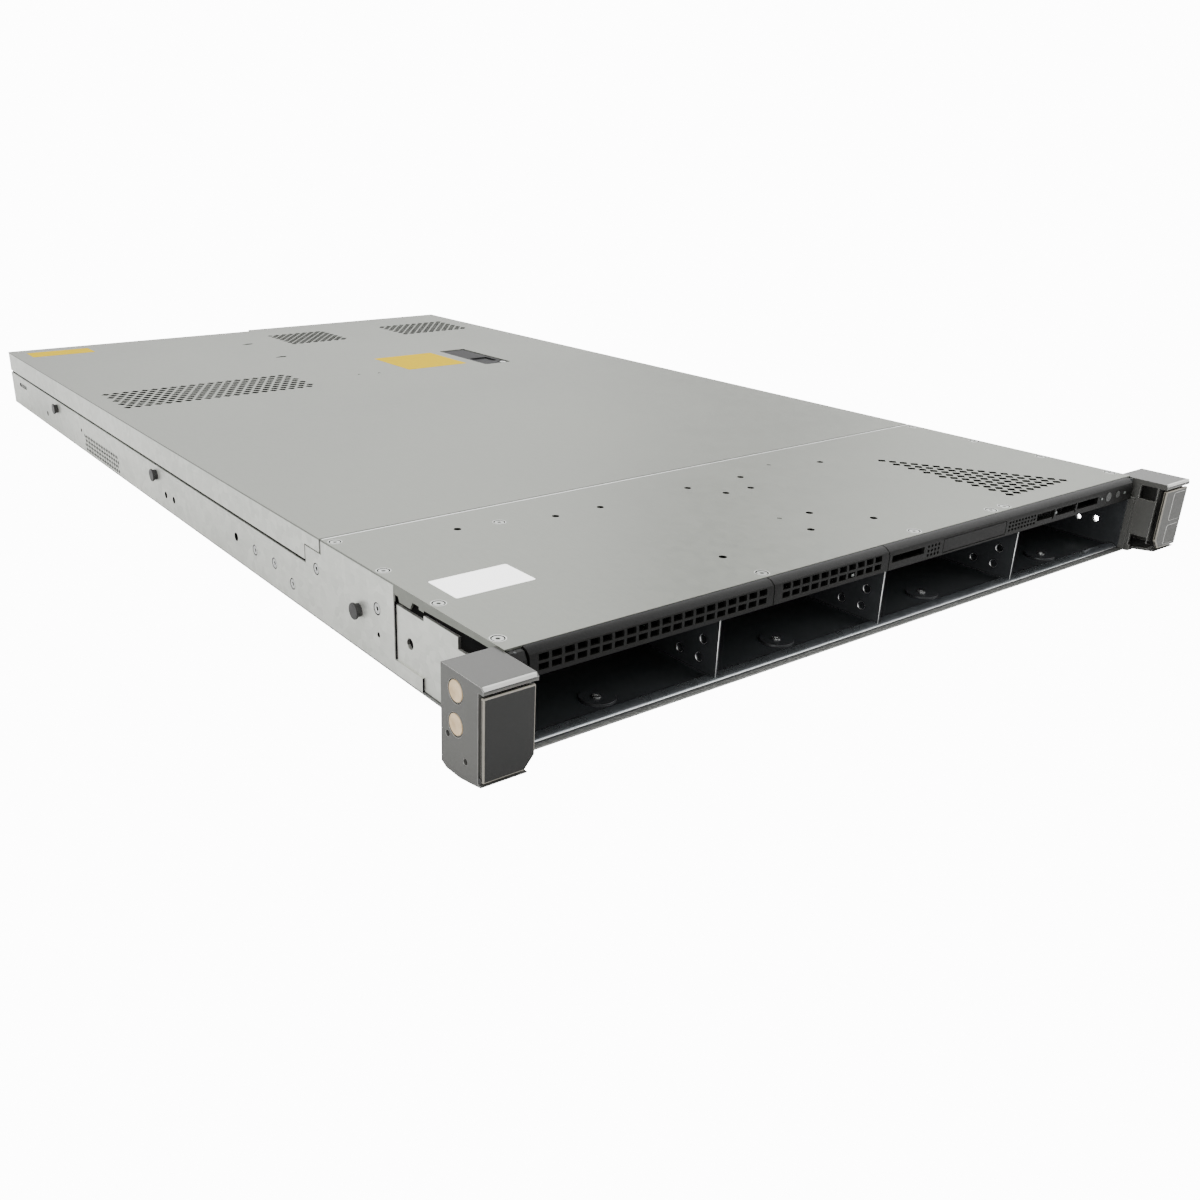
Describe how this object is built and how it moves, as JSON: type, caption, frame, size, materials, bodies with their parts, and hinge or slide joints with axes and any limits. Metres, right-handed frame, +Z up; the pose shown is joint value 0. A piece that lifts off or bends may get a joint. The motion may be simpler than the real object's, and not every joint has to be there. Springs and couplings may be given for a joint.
{
  "type": "1u rack server",
  "caption": "Low, deep sheet-metal rack server with open drive bays, vented lift-off cover with latch, rack ears with flaps, display tray, fans and hot-plug supplies.",
  "frame": {"origin": "bottom, in the middle of the overall box", "axes": "+X to the right seen from the front, +Y from front to back, +Z up"},
  "size_m": [0.4826, 0.7936, 0.0432],
  "materials": {
    "zinc": "galvanised sheet steel, satin",
    "dark_zinc": "galvanised sheet steel in shade, satin",
    "steel": "bright zinc-plated steel",
    "black_steel": "black oxide",
    "ear_paint": "grey satin paint",
    "lever_gloss": "dark gloss moulding with a grey rim",
    "tan_disc": "tan plug",
    "strip_plastic": "black moulded plastic",
    "button_plastic": "grey moulded button",
    "light_pipe": "clear light pipe",
    "latch_plastic": "dark grey moulded plastic",
    "release_plastic": "rust-red touch point",
    "black_plastic": "black glass-filled plastic",
    "baffle_plastic": "dark vacuum-formed plastic",
    "board": "green circuit board laminate",
    "aluminium": "mill-finish fins",
    "supply_case": "galvanised supply housing",
    "port_shell": "nickel-plated shells"
  },
  "bodies": {
    "chassis": {"base_pan": "zinc", "side_walls": "zinc", "rear_panel": "zinc", "front_top_plate": "zinc", "top_screws": "steel", "side_screws": "steel", "rail_studs": "black_steel", "drive_cage": "dark_zinc", "cage_sides": "dark_zinc", "bay_dividers": "dark_zinc", "cage_shelf": "dark_zinc", "drive_backplane": "board", "grille_blanks": "strip_plastic", "control_strip": "strip_plastic", "button_board": "board", "status_lights": "light_pipe", "left_ear": "ear_paint", "right_ear": "ear_paint", "ear_discs": "tan_disc", "ear_brackets": "zinc", "lever_pins": "steel", "rack_screws": "black_steel", "system_board": "board", "heatsink_left": "aluminium", "heatsink_right": "aluminium", "memory_slots": "black_plastic", "memory_modules": "board", "air_baffle": "baffle_plastic", "fan_bulkhead": "zinc", "fan_frames": "black_plastic", "psu_bay": "zinc", "power_board": "board", "riser_bracket": "zinc", "riser_board": "board", "slot_covers": "zinc", "network_ports": "port_shell", "peripheral_ports": "port_shell"},
    "cover": {"access_cover": "zinc", "cover_skirts": "zinc", "latch_well": "black_plastic", "latch_screw": "steel"},
    "latch_lever": {"cover_latch": "latch_plastic"},
    "display": {"display_tray": "strip_plastic"},
    "power_key": {"power_button": "button_plastic"},
    "uid_key": {"uid_button": "button_plastic"},
    "left_flap": {"left_lever": "lever_gloss"},
    "right_flap": {"right_lever": "lever_gloss"},
    "supply_1": {"psu_1_case": "supply_case", "psu_1_inlet": "black_plastic", "psu_1_handle": "black_plastic"},
    "supply_1_tab": {"psu_1_latch": "release_plastic"},
    "supply_2": {"psu_2_case": "supply_case", "psu_2_inlet": "black_plastic", "psu_2_handle": "black_plastic"},
    "supply_2_tab": {"psu_2_latch": "release_plastic"},
    "rotor_1": {"fan_rotor_1": "black_plastic"},
    "rotor_2": {"fan_rotor_2": "black_plastic"},
    "rotor_3": {"fan_rotor_3": "black_plastic"},
    "rotor_4": {"fan_rotor_4": "black_plastic"},
    "rotor_5": {"fan_rotor_5": "black_plastic"}
  },
  "joints": [
    {"name": "cover_lift", "type": "slide", "parent": "chassis", "child": "cover", "axis": [0, 0, 1], "range_m": [0, 0.15]},
    {"name": "latch_turn", "type": "hinge", "parent": "cover", "child": "latch_lever", "pos_m": [0.1135, 0.17475, 0.04], "axis": [-1, 0, 0], "range_deg": [0, 75]},
    {"name": "display_pull", "type": "slide", "parent": "chassis", "child": "display", "axis": [0, -1, 0], "range_m": [0, 0.068]},
    {"name": "power_press", "type": "slide", "parent": "chassis", "child": "power_key", "axis": [0, 1, 0], "range_m": [0, 0.001], "stiffness_N_per_m": 600, "springref_m": -0.001},
    {"name": "uid_press", "type": "slide", "parent": "chassis", "child": "uid_key", "axis": [0, 1, 0], "range_m": [0, 0.001], "stiffness_N_per_m": 600, "springref_m": -0.001},
    {"name": "left_flap_turn", "type": "hinge", "parent": "chassis", "child": "left_flap", "pos_m": [-0.22835, -0.39475, 0.0052], "axis": [1, 0, 0], "range_deg": [0, 80]},
    {"name": "right_flap_turn", "type": "hinge", "parent": "chassis", "child": "right_flap", "pos_m": [0.22835, -0.39475, 0.0052], "axis": [1, 0, 0], "range_deg": [0, 80]},
    {"name": "supply_1_pull", "type": "slide", "parent": "chassis", "child": "supply_1", "axis": [0, 1, 0], "range_m": [0, 0.185]},
    {"name": "supply_1_release", "type": "hinge", "parent": "supply_1", "child": "supply_1_tab", "pos_m": [-0.134, 0.35185, 0.0207], "axis": [0, 0, 1], "range_deg": [0, 4], "stiffness_Nm_per_rad": 0.4, "springref_deg": -2.86},
    {"name": "supply_2_pull", "type": "slide", "parent": "chassis", "child": "supply_2", "axis": [0, 1, 0], "range_m": [0, 0.185]},
    {"name": "supply_2_release", "type": "hinge", "parent": "supply_2", "child": "supply_2_tab", "pos_m": [-0.0458, 0.35185, 0.0207], "axis": [0, 0, 1], "range_deg": [0, 4], "stiffness_Nm_per_rad": 0.4, "springref_deg": -2.86},
    {"name": "rotor_1_spin", "type": "hinge", "parent": "chassis", "child": "rotor_1", "pos_m": [-0.152, -0.14875, 0.0214], "axis": [0, 1, 0], "continuous": true},
    {"name": "rotor_2_spin", "type": "hinge", "parent": "chassis", "child": "rotor_2", "pos_m": [-0.076, -0.14875, 0.0214], "axis": [0, 1, 0], "continuous": true},
    {"name": "rotor_3_spin", "type": "hinge", "parent": "chassis", "child": "rotor_3", "pos_m": [0, -0.14875, 0.0214], "axis": [0, 1, 0], "continuous": true},
    {"name": "rotor_4_spin", "type": "hinge", "parent": "chassis", "child": "rotor_4", "pos_m": [0.076, -0.14875, 0.0214], "axis": [0, 1, 0], "continuous": true},
    {"name": "rotor_5_spin", "type": "hinge", "parent": "chassis", "child": "rotor_5", "pos_m": [0.152, -0.14875, 0.0214], "axis": [0, 1, 0], "continuous": true}
  ]
}
